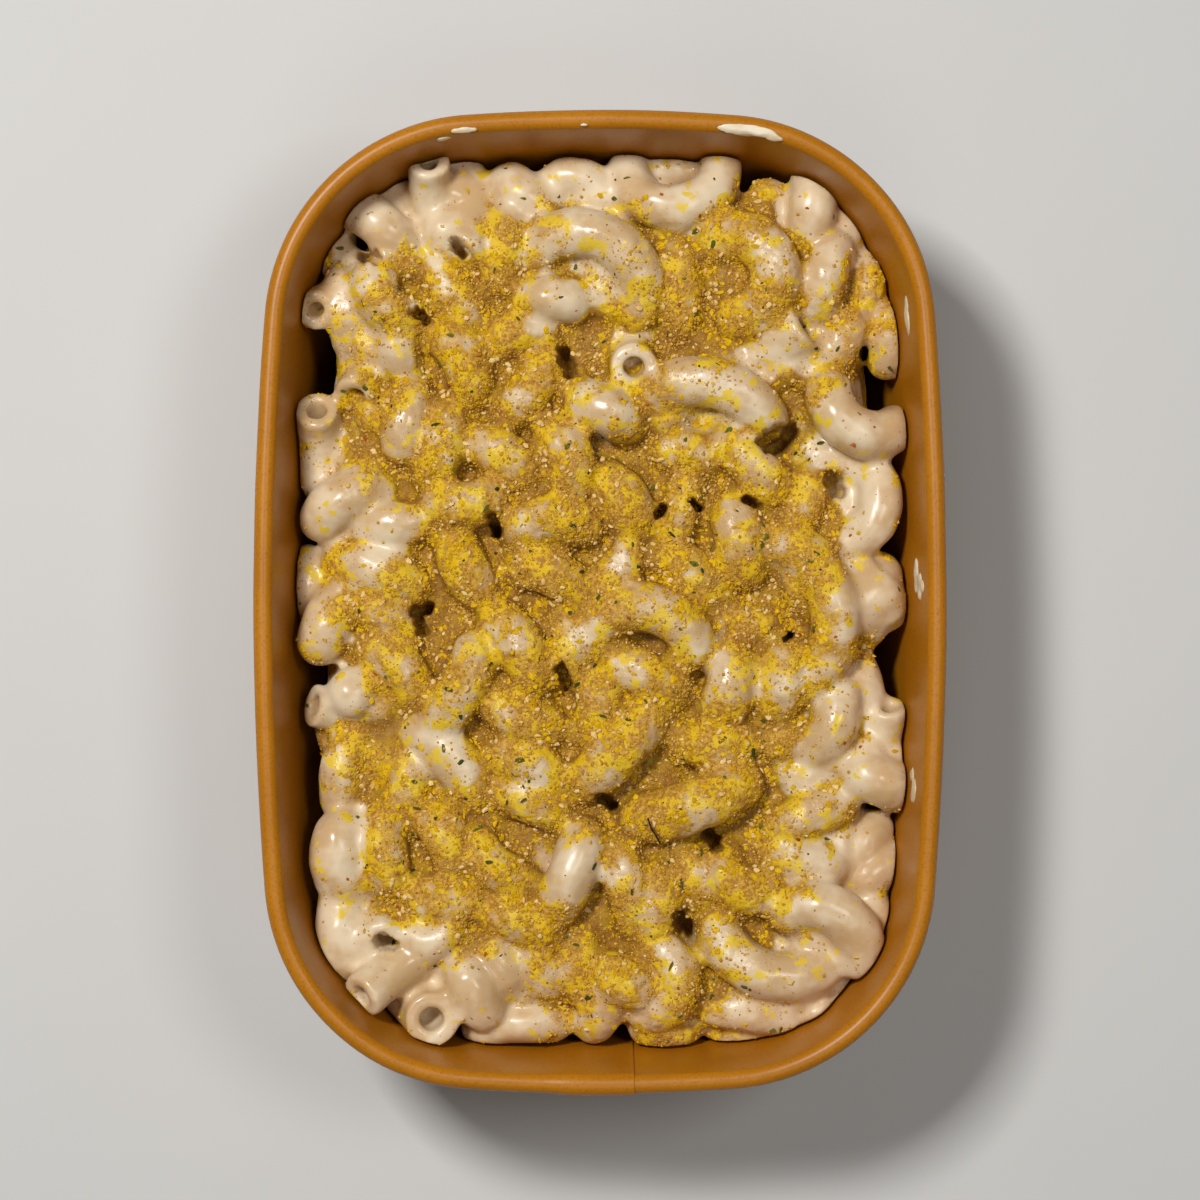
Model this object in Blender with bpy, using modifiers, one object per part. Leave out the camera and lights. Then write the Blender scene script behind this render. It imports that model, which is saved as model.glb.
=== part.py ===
"""A rectangular kraft paper tub of macaroni cheese, in metres, +Z up.

The origin is the middle of the ring that the tub stands on, the long side runs along Y and the
wall's glued seam is on the -Y end. The tub is two pieces of board, as the real one is: a tapered
wall with a rolled rim and a folded hem, and a base panel whose skirt hangs in that hem. The
macaroni is one heap, level with the real one's uneven top.
"""

import math
import random

import bmesh
import bpy
from mathutils import Matrix, Vector

MM = 0.001

# The rim's outer edge: four corner arcs joined by bowed sides.
RIM_HALF_WIDTH = 60.7 * MM
RIM_HALF_LENGTH = 86.0 * MM
CORNER_RADIUS = 38.0 * MM
CORNER_CENTRE_X = 20.8 * MM
CORNER_CENTRE_Y = 47.2 * MM
SIDE_STEPS = 3
CORNER_STEPS = 8

# The board and how it is folded.
TUB_HEIGHT = 55.0 * MM
BOARD = 0.45 * MM
WALL_SLOPE = math.radians(6.8)
ROLL_RADIUS = 2.0 * MM
ROLL_TURN = math.radians(290)
ROLL_STEPS = 10
HEM_FOLD_RADIUS = 0.75 * MM
HEM_FACET = math.radians(45)
HEM_LEG = 4.2 * MM
PANEL_TOP = 6.0 * MM
SKIRT_FOOT = 1.7 * MM
GAP = 0.3 * MM

# The macaroni: bent tubes on a solid core.
TUBE_RADIUS = 4.1 * MM
BEND_RADIUS = (6.5 * MM, 9.5 * MM)
BEND_ANGLE = (math.radians(95), math.radians(175))
BEND_STEPS = 7
# The point a bend is placed and turned about, as a share of its radius out from its centre.
BEND_PIVOT = 0.7
ROW_SPACING = 12.2 * MM
COLUMN_SPACING = 12.8 * MM
PLACE_JITTER = 2.6 * MM
HEIGHT_JITTER = 1.8 * MM
MOST_TILT = math.radians(22)
HEAP_TOP_AT_WALL = 41.5 * MM
HEAP_TOP_IN_MIDDLE = 46.3 * MM
CORE_BELOW_TOP = 7.5 * MM
HEAP_CLEARANCE = 0.9 * MM
# A piece that would reach the wall is moved in, a few times where it meets a corner.
MOST_NUDGES = 12
NUDGE_PAST = 0.1 * MM
MERGE = 0.01 * MM
SKIN_VOXEL = 2.1 * MM
SKIN_SHARE = 0.165
LAYOUT_SEED = 11


def bow_radius(half, other_centre, centre):
    """Radius of the side arc that passes the rim's half size and runs smoothly into the corner arcs."""
    reach = centre - half
    return (CORNER_RADIUS**2 - reach**2 - other_centre**2) / (2 * (reach + CORNER_RADIUS))


LONG_BOW = bow_radius(RIM_HALF_WIDTH, CORNER_CENTRE_Y, CORNER_CENTRE_X)
SHORT_BOW = bow_radius(RIM_HALF_LENGTH, CORNER_CENTRE_X, CORNER_CENTRE_Y)
LONG_BOW_CENTRE = Vector((RIM_HALF_WIDTH - LONG_BOW, 0))
SHORT_BOW_CENTRE = Vector((0, RIM_HALF_LENGTH - SHORT_BOW))
CORNER_CENTRE = Vector((CORNER_CENTRE_X, CORNER_CENTRE_Y))
LONG_BOW_END = math.atan2(CORNER_CENTRE_Y, CORNER_CENTRE_X - LONG_BOW_CENTRE.x)
SHORT_BOW_END = math.pi / 2 - math.atan2(CORNER_CENTRE_X, CORNER_CENTRE_Y - SHORT_BOW_CENTRE.y)


def outline(offset):
    """Points of the rim's outline moved out by offset, anticlockwise from the +X side."""
    quarter = []
    for centre, radius, first, last, steps in (
        (LONG_BOW_CENTRE, LONG_BOW, 0, LONG_BOW_END, SIDE_STEPS),
        (CORNER_CENTRE, CORNER_RADIUS, LONG_BOW_END, SHORT_BOW_END, CORNER_STEPS),
        (SHORT_BOW_CENTRE, SHORT_BOW, SHORT_BOW_END, math.pi / 2, SIDE_STEPS),
    ):
        for step in range(steps):
            angle = first + (last - first) * step / steps
            quarter.append(centre + (radius + offset) * Vector((math.cos(angle), math.sin(angle))))
    top = Vector((0, RIM_HALF_LENGTH + offset))
    back = [Vector((-p.x, p.y)) for p in reversed(quarter[1:])]
    half = quarter + [top] + back
    return half + [-p for p in half]


def rim_distance(x, y):
    """How far a point lies outside the rim's outer edge; inside it is negative."""
    p = Vector((abs(x), abs(y)))
    from_long = p - LONG_BOW_CENTRE
    if math.atan2(from_long.y, from_long.x) < LONG_BOW_END:
        return from_long.length - LONG_BOW
    from_short = p - SHORT_BOW_CENTRE
    if math.atan2(from_short.y, from_short.x) > SHORT_BOW_END:
        return from_short.length - SHORT_BOW
    return (p - CORNER_CENTRE).length - CORNER_RADIUS


# The middle of the board's thickness, in the plane across the wall: x is out from the rim's edge.
UP_THE_WALL = Vector((math.sin(WALL_SLOPE), math.cos(WALL_SLOPE)))
INTO_THE_TUB = Vector((-math.cos(WALL_SLOPE), math.sin(WALL_SLOPE)))
ROLL_CENTRE = Vector((-ROLL_RADIUS, TUB_HEIGHT - ROLL_RADIUS))
WALL_TOP = ROLL_CENTRE + (ROLL_RADIUS - BOARD / 2) * INTO_THE_TUB


def wall_inner_face(z):
    """Outline offset of the wall's inner face at height z."""
    middle = WALL_TOP.x - (WALL_TOP.y - z) * math.tan(WALL_SLOPE)
    return middle - BOARD / 2 / math.cos(WALL_SLOPE)


def board_section():
    """The wall board's closed cross-section: hem leg, fold, wall and rolled rim."""
    middle_line = []
    # The fold's lowest facet lies flat on z = 0, and the tub stands on it.
    fold_height = (HEM_FOLD_RADIUS + BOARD / 2) * math.cos(HEM_FACET / 2)
    wall_foot_height = fold_height - HEM_FOLD_RADIUS * math.sin(WALL_SLOPE)
    wall_foot = WALL_TOP - UP_THE_WALL * (WALL_TOP.y - wall_foot_height) / math.cos(WALL_SLOPE)
    fold_centre = wall_foot + HEM_FOLD_RADIUS * INTO_THE_TUB
    leg_foot = wall_foot + 2 * HEM_FOLD_RADIUS * INTO_THE_TUB
    middle_line.append((leg_foot + HEM_LEG * UP_THE_WALL, INTO_THE_TUB))
    fold_angles = [1.5 * math.pi + HEM_FACET * step for step in (-1.5, -0.5, 0.5, 1.5)]
    for angle in [math.pi - WALL_SLOPE, *fold_angles, math.tau - WALL_SLOPE]:
        out = Vector((math.cos(angle), math.sin(angle)))
        middle_line.append((fold_centre + HEM_FOLD_RADIUS * out, out))
    for step in range(ROLL_STEPS + 1):
        angle = math.pi - WALL_SLOPE - ROLL_TURN * step / ROLL_STEPS
        out = Vector((math.cos(angle), math.sin(angle)))
        middle_line.append((ROLL_CENTRE + (ROLL_RADIUS - BOARD / 2) * out, -out))
    one_side = [point + BOARD / 2 * normal for point, normal in middle_line]
    other_side = [point - BOARD / 2 * normal for point, normal in middle_line]
    return one_side + other_side[::-1]


def material(name, colour, roughness):
    made = bpy.data.materials.new(name)
    made.use_nodes = True
    shader = made.node_tree.nodes["Principled BSDF"]
    shader.inputs["Base Color"].default_value = (*colour, 1)
    shader.inputs["Roughness"].default_value = roughness
    shader.inputs["Metallic"].default_value = 0
    return made


def poly_spline(curve, points, cyclic):
    spline = curve.splines.new("POLY")
    spline.points.add(len(points) - 1)
    for slot, point in zip(spline.points, points):
        slot.co = (*point, 1)
    spline.use_cyclic_u = cyclic
    return spline


def tub_wall(collection, guides, kraft):
    """The wall board's section swept round the rim's outline."""
    section = bpy.data.curves.new("board_section", "CURVE")
    section.dimensions = "2D"
    # A bevel object's +X side faces into a closed path, so the section is mirrored.
    poly_spline(section, [(-p.x, p.y, 0) for p in board_section()], True)
    guide = bpy.data.objects.new("board_section", section)
    guide.hide_render = True
    guides.objects.link(guide)

    path = bpy.data.curves.new("tub_wall", "CURVE")
    path.dimensions = "2D"
    path.fill_mode = "NONE"
    path.bevel_mode = "OBJECT"
    path.bevel_object = guide
    poly_spline(path, [(p.x, p.y, 0) for p in outline(0)], True)
    path.materials.append(kraft)
    wall = bpy.data.objects.new("tub_wall", path)
    collection.objects.link(wall)
    return wall


def tub_base(collection, kraft):
    """The base panel, and the skirt that hangs from its edge into the wall's hem."""
    bm = bmesh.new()
    edge = wall_inner_face(PANEL_TOP) - GAP
    panel = bm.faces.new([bm.verts.new((p.x, p.y, PANEL_TOP)) for p in outline(edge)])
    skirt = bmesh.ops.extrude_edge_only(bm, edges=panel.edges[:])["geom"]
    feet = [v for v in skirt if isinstance(v, bmesh.types.BMVert)]
    foot_edge = wall_inner_face(SKIRT_FOOT) - GAP
    for vert, place in zip(feet, outline(foot_edge)):
        vert.co = (place.x, place.y, SKIRT_FOOT)
    bmesh.ops.recalc_face_normals(bm, faces=bm.faces)
    if panel.normal.z < 0:
        bmesh.ops.reverse_faces(bm, faces=bm.faces)
    mesh = bpy.data.meshes.new("tub_base")
    bm.to_mesh(mesh)
    bm.free()
    mesh.materials.append(kraft)
    base = bpy.data.objects.new("tub_base", mesh)
    collection.objects.link(base)
    board = base.modifiers.new("board", "SOLIDIFY")
    board.thickness = BOARD
    board.offset = -1
    board.use_even_offset = True
    return base


def heap_top(x, y):
    """Height of the heap's crown over a point: low along the wall and higher in the middle."""
    depth_in = -rim_distance(x, y)
    share = min(depth_in / RIM_HALF_WIDTH, 1)
    return HEAP_TOP_AT_WALL + (HEAP_TOP_IN_MIDDLE - HEAP_TOP_AT_WALL) * math.sin(share * math.pi / 2)


def bent_tube(chance, x, y):
    """Centre line of one piece of macaroni lying near (x, y), kept clear of the wall."""
    radius = chance.uniform(*BEND_RADIUS)
    angle = chance.uniform(*BEND_ANGLE)
    turn = Matrix.Rotation(chance.uniform(0, math.tau), 3, "Z")
    lean = Matrix.Rotation(chance.uniform(-MOST_TILT, MOST_TILT), 3, "X")
    roll = Matrix.Rotation(chance.uniform(-MOST_TILT, MOST_TILT), 3, "Y")
    x += chance.uniform(-PLACE_JITTER, PLACE_JITTER)
    y += chance.uniform(-PLACE_JITTER, PLACE_JITTER)
    z = heap_top(x, y) - TUBE_RADIUS - chance.uniform(0, HEIGHT_JITTER)
    line = []
    for step in range(BEND_STEPS):
        along = angle * (step / (BEND_STEPS - 1) - 0.5)
        flat = Vector((radius * (math.cos(along) - BEND_PIVOT), radius * math.sin(along), 0))
        line.append(turn @ lean @ roll @ flat + Vector((x, y, z)))
    highest = max(p.z - heap_top(p.x, p.y) + TUBE_RADIUS for p in line)
    line = [p - Vector((0, 0, max(highest, 0))) for p in line]
    room = HEAP_CLEARANCE + TUBE_RADIUS
    for _ in range(MOST_NUDGES):
        worst = max(line, key=lambda p: rim_distance(p.x, p.y) - wall_inner_face(p.z))
        excess = rim_distance(worst.x, worst.y) - wall_inner_face(worst.z) + room
        if excess <= 0:
            break
        inward = Vector((-worst.x, -worst.y, 0)).normalized()
        line = [p + inward * (excess + NUDGE_PAST) for p in line]
    return line


def heap_core():
    """The closed body under the top layer, as a mesh: the tub's inside up to its own level."""
    bm = bmesh.new()
    floor = PANEL_TOP + GAP
    level = HEAP_TOP_AT_WALL - CORE_BELOW_TOP
    low = outline(wall_inner_face(floor) - HEAP_CLEARANCE)
    high = outline(wall_inner_face(level) - HEAP_CLEARANCE)
    bottom = bm.faces.new([bm.verts.new((p.x, p.y, floor)) for p in low])
    raised = bmesh.ops.extrude_face_region(bm, geom=[bottom])["geom"]
    crown = [v for v in raised if isinstance(v, bmesh.types.BMVert)]
    for vert, place in zip(crown, high):
        vert.co = (place.x, place.y, level)
    bmesh.ops.recalc_face_normals(bm, faces=bm.faces)
    mesh = bpy.data.meshes.new("heap_core")
    bm.to_mesh(mesh)
    bm.free()
    return mesh


def macaroni_heap(collection, guides, pasta):
    """Bent tubes in staggered rows over the core, made one skin."""
    chance = random.Random(LAYOUT_SEED)
    curve = bpy.data.curves.new("macaroni_lines", "CURVE")
    curve.dimensions = "3D"
    curve.bevel_depth = TUBE_RADIUS
    curve.bevel_resolution = 2
    curve.use_fill_caps = True
    inset = wall_inner_face(HEAP_TOP_AT_WALL)
    rows = int(RIM_HALF_LENGTH / ROW_SPACING)
    columns = int(RIM_HALF_WIDTH / COLUMN_SPACING) + 1
    for row in range(-rows, rows + 1):
        stagger = 0.5 * COLUMN_SPACING * (row % 2)
        for column in range(-columns, columns + 1):
            x = column * COLUMN_SPACING + stagger
            y = row * ROW_SPACING
            if rim_distance(x, y) < inset:
                poly_spline(curve, bent_tube(chance, x, y), False)
    lines = bpy.data.objects.new("macaroni_lines", curve)
    guides.objects.link(lines)
    bpy.context.view_layer.update()
    tubes = bpy.data.meshes.new_from_object(lines.evaluated_get(bpy.context.evaluated_depsgraph_get()))
    bpy.data.objects.remove(lines)

    core = heap_core()
    bm = bmesh.new()
    bm.from_mesh(tubes)
    bmesh.ops.remove_doubles(bm, verts=bm.verts, dist=MERGE)
    bm.from_mesh(core)
    mesh = bpy.data.meshes.new("macaroni_heap")
    bm.to_mesh(mesh)
    bm.free()
    bpy.data.meshes.remove(tubes)
    bpy.data.meshes.remove(core)
    mesh.materials.append(pasta)
    heap = bpy.data.objects.new("macaroni_heap", mesh)
    collection.objects.link(heap)
    skin = heap.modifiers.new("one skin", "REMESH")
    skin.mode = "VOXEL"
    skin.voxel_size = SKIN_VOXEL
    fewer = heap.modifiers.new("fewer faces", "DECIMATE")
    fewer.ratio = SKIN_SHARE
    return heap


def main():
    for old in list(bpy.data.objects):
        bpy.data.objects.remove(old)
    parts = bpy.data.collections.new("macaroni cheese tub")
    guides = bpy.data.collections.new("guides")
    bpy.context.scene.collection.children.link(parts)
    bpy.context.scene.collection.children.link(guides)
    kraft = material("kraft board", (0.45, 0.24, 0.07), 0.55)
    pasta = material("sauced macaroni", (0.70, 0.52, 0.27), 0.35)
    tub_wall(parts, guides, kraft)
    tub_base(parts, kraft)
    macaroni_heap(parts, guides, pasta)


main()
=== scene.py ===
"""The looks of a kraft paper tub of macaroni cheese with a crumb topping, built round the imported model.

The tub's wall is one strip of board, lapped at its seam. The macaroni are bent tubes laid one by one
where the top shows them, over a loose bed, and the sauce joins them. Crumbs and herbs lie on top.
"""
import math

import bmesh
import bpy
import numpy as np
from mathutils import Matrix, Vector, noise


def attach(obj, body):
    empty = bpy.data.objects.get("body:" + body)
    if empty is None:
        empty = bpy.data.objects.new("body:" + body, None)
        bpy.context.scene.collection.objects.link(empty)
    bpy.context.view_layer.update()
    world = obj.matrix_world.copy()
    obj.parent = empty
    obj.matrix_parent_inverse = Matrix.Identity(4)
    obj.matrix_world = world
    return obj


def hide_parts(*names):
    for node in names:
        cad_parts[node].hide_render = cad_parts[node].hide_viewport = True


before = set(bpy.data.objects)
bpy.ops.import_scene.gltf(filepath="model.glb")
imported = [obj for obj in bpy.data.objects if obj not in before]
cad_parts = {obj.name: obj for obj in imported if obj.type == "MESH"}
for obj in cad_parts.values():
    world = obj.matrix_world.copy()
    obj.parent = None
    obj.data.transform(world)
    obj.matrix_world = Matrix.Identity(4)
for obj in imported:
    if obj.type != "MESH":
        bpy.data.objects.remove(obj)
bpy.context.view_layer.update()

MM = 0.001

# ---- The tub's outline and wall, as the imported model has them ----
RIM_HALF_WIDTH = 60.7 * MM
RIM_HALF_LENGTH = 86.0 * MM
CORNER_RADIUS = 38.0 * MM
CORNER_CENTRE = Vector((20.8 * MM, 47.2 * MM))
TUB_HEIGHT = 55.0 * MM
BOARD = 0.45 * MM
WALL_SLOPE = math.radians(6.8)
ROLL_RADIUS = 2.0 * MM
ROLL_TURN = math.radians(290)
HEM_FOLD_RADIUS = 0.75 * MM
HEM_LEG = 4.2 * MM
HEAP_FLOOR = 6.3 * MM

# ---- Detail of the wall ----
STATION_SPACING = 1.6 * MM
SEAM_X = 6.0 * MM
LAP = 11.0 * MM
LAP_RISE = 5.0 * MM
LAP_STEP = 0.3 * MM
FOLD_STEPS = 8
WALL_STEPS = 7
ROLL_STEPS = 22
RIM_WAVE = 0.16 * MM
RIM_WAVE_LENGTH = 17 * MM
RIM_DROP = 0.15 * MM

# ---- The macaroni ----
TUBE_SIDES = 20
# How deep an open end is bored, and at most what share of the bend, by one end or from both.
END_DEPTH = 8.0 * MM
END_SHARE = 0.62
BOTH_ENDS_SHARE = 0.42
BORE_LAP = 0.3 * MM
HOLE_SHARE = 0.45
SPIN_STEP = 1.6 * MM
SKIN_VOXEL = 0.5 * MM
SAUCE_FILLET = 0.4 * MM
# The heights below are stretched about the crown, down to a depth, and closed ends sink further.
CROWN = 42.0
CROWN_HEIGHT = 41.2
RELIEF = 2.3
STRETCHED_DEPTH = 2.0
END_SINK = 1.5
LIE_SPREAD = 1.6
FINAL_TRIANGLES = 186000
CUT_HEIGHT = 29.0 * MM
WALL_GAP = 0.35 * MM
FOOT_TAPER = 1.25

# Each piece that shows: where its centre line starts, passes and ends (x, y, z in mm), how thick it
# is (mm), and whether its two ends are open (o) or closed over with sauce (r).
MACARONI = (
    # the end away from the seam, left
    ((-30.3, 78, 42.6), (-30.2, 74, 40.6), (-29, 66, 38.8), 7.6, "or"),
    ((-25.5, 78, 38), (-22.6, 71.5, 39.5), (-24.6, 62, 42.4), 8.2, "ro"),
    ((-43, 70, 40), (-39.5, 67.4, 40.8), (-35.2, 63.6, 40.5), 8.4, "rr"),
    ((-38, 75, 35.5), (-35, 72.5, 36), (-31, 71, 36), 7.6, "rr"),
    ((-47.5, 65, 35), (-46.5, 61, 36), (-42, 59, 37), 8.0, "rr"),
    ((-50.6, 51.6, 41.8), (-48.8, 53.2, 39.8), (-44, 55.5, 38.4), 7.2, "or"),
    ((-46, 57, 40.5), (-45.5, 52.5, 41), (-44, 46, 40), 7.2, "rr"),
    ((-38, 59, 40.5), (-39, 53.5, 42), (-33.5, 50.8, 41), 8.8, "rr"),
    ((-34.5, 50, 40.3), (-36, 46, 41.3), (-35.5, 42.3, 41), 7.8, "rr"),
    ((-45, 49, 38.5), (-43, 43, 39.3), (-44, 38, 38), 8.0, "rr"),
    ((-30, 60, 40.5), (-26, 55, 41), (-22, 50, 40.5), 8.4, "rr"),
    ((-28, 47, 41), (-24, 43, 41.5), (-23, 37, 41), 8.4, "rr"),
    ((-16.5, 68, 41.5), (-17, 62, 41.6), (-18.5, 56, 40.6), 7.2, "rr"),
    ((-16, 74.3, 39.5), (-13, 72, 40), (-9.5, 70.8, 39), 9.2, "rr"),
    ((-9.2, 71.5, 38.3), (-6, 75.7, 39.8), (-1.5, 74.8, 39.4), 7.2, "ro"),
    ((-3.5, 70.5, 39), (0, 73, 39.5), (3, 70.5, 39), 7.2, "rr"),
    ((-11.5, 62, 41), (1.5, 64.3, 42.2), (7, 52, 41), 8.8, "rr"),
    ((-12.5, 53.5, 41.3), (-8, 54, 41.9), (-4.5, 53, 41.4), 8.0, "rr"),
    ((-3, 59, 40.2), (0.5, 56.4, 40.8), (2, 51, 40), 7.2, "rr"),
    ((-12, 68, 35.5), (-9, 67, 35.5), (-6, 68.5, 35), 7.2, "rr"),
    # the end away from the seam, right
    ((5.2, 77, 39.8), (12.6, 70, 41.4), (21.5, 78, 40.2), 8.0, "rr"),
    ((9, 77, 35), (12.5, 77.5, 35.5), (16, 77, 35), 6.8, "rr"),
    ((30, 72.3, 39.5), (29, 68.5, 40), (31, 64, 39.5), 7.8, "rr"),
    ((21, 64.3, 41), (30.5, 60.5, 42), (24.5, 50.5, 41.1), 9.2, "rr"),
    ((20.5, 58, 39.8), (24, 57, 40.3), (27, 57, 39.8), 8.0, "rr"),
    ((12.5, 66, 40), (14, 58, 41), (14.5, 49, 40.5), 8.4, "rr"),
    ((38.5, 75.5, 39.5), (38, 71, 41), (36.8, 65, 40.5), 9.0, "or"),
    ((43.3, 72.5, 36.5), (44, 67, 37), (43, 61, 37), 7.2, "rr"),
    ((41.5, 63, 40.8), (40, 58, 41.8), (38.5, 52, 41), 8.2, "rr"),
    ((36.8, 48.8, 42.2), (32.5, 46.5, 41.2), (27, 44.2, 40.3), 8.8, "or"),
    ((6, 41.5, 43.2), (6.2, 44.5, 40), (7, 49, 38.2), 8.6, "or"),
    ((51.2, 51.5, 38), (51.8, 48, 39.3), (51.3, 43, 38.5), 7.0, "rr"),
    ((48.5, 60, 38), (48, 57, 38.5), (47, 53, 38), 6.8, "rr"),
    ((46, 50.5, 39.5), (43, 47, 40.5), (42, 42.5, 40), 8.2, "rr"),
    ((18, 46, 39.5), (23, 43.6, 40), (28, 41.6, 39.6), 8.4, "rr"),
    # the middle, left
    ((-50.3, 34.3, 42.0), (-50.2, 29.5, 39.6), (-50, 21.5, 38.3), 8.0, "or"),
    ((-43.5, 36.3, 41.5), (-41, 39.5, 39.5), (-37, 41, 38.6), 7.8, "or"),
    ((-49.3, 14.7, 40.5), (-46, 18.2, 41), (-40, 20.2, 40.5), 9.2, "rr"),
    ((-41.3, 13.6, 41), (-37, 13.8, 41.6), (-31.5, 14.5, 41.3), 8.0, "rr"),
    ((-35, 28, 41.6), (-34.5, 33, 41.4), (-33, 38, 40.5), 8.4, "rr"),
    ((-46, 27, 38.5), (-41, 25, 39.5), (-35, 23, 39.5), 8.4, "rr"),
    ((-46, 7, 38.5), (-40, 6, 40.8), (-34, 3, 40.8), 9.2, "rr"),
    ((-43, 0, 40), (-38, -2.5, 41.1), (-34, -6, 40.5), 8.2, "rr"),
    ((-52, 7, 36.5), (-51.5, 2, 37), (-50.5, -2, 37), 7.2, "rr"),
    ((-27, 33, 41.2), (-28, 28, 41.8), (-30, 22, 40.8), 8.6, "rr"),
    ((-22, 28, 41), (-17, 26, 41.8), (-13, 22, 41), 8.6, "rr"),
    ((-28, 18, 41.6), (-24, 17.2, 42), (-19, 19.3, 41.3), 8.6, "rr"),
    ((-26, 12, 41), (-24, 6, 41.8), (-20, 1, 41), 8.8, "rr"),
    ((-16, 34, 41.3), (-12, 38, 41.8), (-10, 43, 41), 8.4, "rr"),
    ((-19, 44, 40.8), (-15, 48, 41.3), (-10, 47, 40.8), 8.2, "rr"),
    ((-8, 30, 41.6), (-5, 25, 42), (-6, 19, 41.6), 8.6, "rr"),
    ((-14, 12.5, 41.4), (-9, 15, 42), (-3, 13.5, 41.6), 8.6, "rr"),
    ((-14, 6, 41.3), (-8, 5, 41.9), (-4, 1, 41.3), 8.6, "rr"),
    ((0, 22, 41.3), (4, 19, 41.9), (6, 13, 41.3), 8.6, "rr"),
    ((-2.5, 35.5, 41.9), (1, 33.8, 42.2), (4.5, 31.8, 41.6), 8.8, "rr"),
    # the middle, right
    ((9, 36.8, 41.3), (20, 38.8, 42.2), (29.3, 32.6, 41.8), 9.0, "rr"),
    ((22, 29.5, 40.8), (26.5, 25, 41.5), (32, 19.5, 40.8), 8.6, "rr"),
    ((40.5, 37.5, 41.7), (44.8, 30.4, 42.1), (52.3, 31, 40.9), 8.8, "rr"),
    ((35.5, 28.5, 38.6), (41, 25, 39.2), (48, 25.5, 38.6), 7.4, "rr"),
    ((46, 24.3, 40.2), (50, 17, 41.4), (42, 10.8, 40.6), 7.8, "rr"),
    ((45, 4, 39.8), (48, 2, 40.4), (50.5, -1, 39.4), 10.0, "rr"),
    ((47, -4.5, 38.4), (49, -1, 39.2), (50, 5, 38.8), 8.8, "rr"),
    ((31, 11, 41.2), (41.5, 0, 42), (36, -15, 41.2), 8.8, "rr"),
    ((37, 23, 39.8), (36.5, 18, 40.8), (34, 13, 40.6), 8.2, "rr"),
    ((15.3, 21, 41.3), (14, 16, 41.4), (12, 10, 41.2), 7.4, "rr"),
    ((20, 24.5, 40.3), (16, 27, 40.8), (11.5, 27, 40.6), 8.2, "rr"),
    ((24, 17, 41), (24.5, 12, 41.9), (26, 6, 41.6), 9.2, "rr"),
    ((33, 8.5, 40.8), (35.5, 4, 41.1), (36.5, -1, 40.8), 7.6, "rr"),
    ((11, 8, 41.2), (16, 6, 41.7), (20, 1, 41.2), 8.4, "rr"),
    ((5, 9, 40.8), (3, 5, 41.2), (-1, 2, 40.8), 8.2, "rr"),
    # towards the seam end, right
    ((-1, -7, 41.3), (8, -0.8, 42.1), (16.3, -8, 41.8), 9.0, "rr"),
    ((19, -1.5, 40.2), (25, -3.5, 40.6), (31, -4.5, 40.4), 8.2, "rr"),
    ((23, -9.5, 41), (23.2, -14, 41.8), (21, -20, 41.2), 9.2, "rr"),
    ((33, -9, 41), (33, -13, 41.8), (31, -18, 41.2), 8.6, "rr"),
    ((42, -16, 41.2), (42, -20.5, 41.7), (38.5, -26, 41.2), 8.8, "rr"),
    ((45, -10, 39.2), (47, -15, 39.6), (46.5, -22, 39.2), 7.6, "rr"),
    ((51.3, -18.5, 40.6), (51, -23, 38.8), (50, -28, 37.6), 7.2, "or"),
    ((44.5, -30, 40.2), (49, -31.5, 41.1), (53.5, -33.5, 40.2), 9.0, "rr"),
    ((50.5, -26, 38.6), (52.5, -28, 39), (53, -32, 38.6), 6.8, "rr"),
    ((33, -28.6, 40.2), (36, -31.6, 40.6), (38.6, -29.4, 40.2), 6.8, "rr"),
    ((7.5, -38.5, 41.2), (14, -37, 42), (24.5, -32.3, 41.6), 9.6, "rr"),
    ((-3, -32, 41), (3, -27, 42), (9, -20, 41.6), 9.0, "rr"),
    ((3, -11, 41.2), (8, -12.8, 41.7), (13, -16, 41.2), 8.8, "rr"),
    ((14, -24, 40.8), (20, -25.5, 41.3), (26, -24.5, 40.8), 8.8, "rr"),
    ((29.5, -23.5, 40.4), (32, -25, 40.7), (35, -23, 40.4), 8.0, "rr"),
    ((42.3, -35.8, 41), (37, -38, 41.3), (31, -41, 40.8), 8.6, "rr"),
    ((40.5, -47.3, 41), (35.5, -46, 41.3), (30, -44, 40.8), 8.6, "rr"),
    ((22, -45.5, 40.8), (23.5, -50, 41.5), (30, -51, 41), 8.6, "rr"),
    ((14, -44.5, 40.9), (16.5, -48, 41.3), (18, -53, 40.8), 7.8, "rr"),
    ((49.3, -41, 37.3), (46.5, -44, 37.8), (43.5, -48.5, 37.3), 8.0, "rr"),
    ((52, -46, 36.3), (49, -48.5, 36.8), (45.5, -51, 36.3), 8.0, "rr"),
    ((48, -53, 37.3), (49.3, -57, 37.8), (48.8, -62, 37.3), 7.2, "rr"),
    ((33.5, -55, 41.7), (43.8, -56.2, 42.1), (45.8, -63, 41.2), 9.2, "rr"),
    ((21, -58, 41.1), (27.5, -65.3, 41.8), (39, -65, 41.2), 9.0, "rr"),
    ((20, -72, 39.3), (26, -72.8, 40), (33, -74, 39.3), 8.0, "rr"),
    ((37, -71.5, 40.2), (38.8, -72.6, 38.8), (42, -70, 37.5), 7.8, "or"),
    ((43.8, -68, 36), (43, -70.5, 36), (40, -73, 36), 6.8, "rr"),
    ((8, -61.8, 41), (14.3, -67, 41.8), (8, -72.7, 40.8), 7.8, "rr"),
    ((2, -65.5, 41.2), (5, -67.8, 41.6), (7, -69, 41.2), 8.4, "rr"),
    ((-1, -75, 39.3), (0.5, -72, 40.5), (1.5, -67, 41), 8.6, "rr"),
    ((8, -76.3, 38.6), (12, -76.8, 38.8), (16, -75.8, 38.4), 6.6, "rr"),
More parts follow.
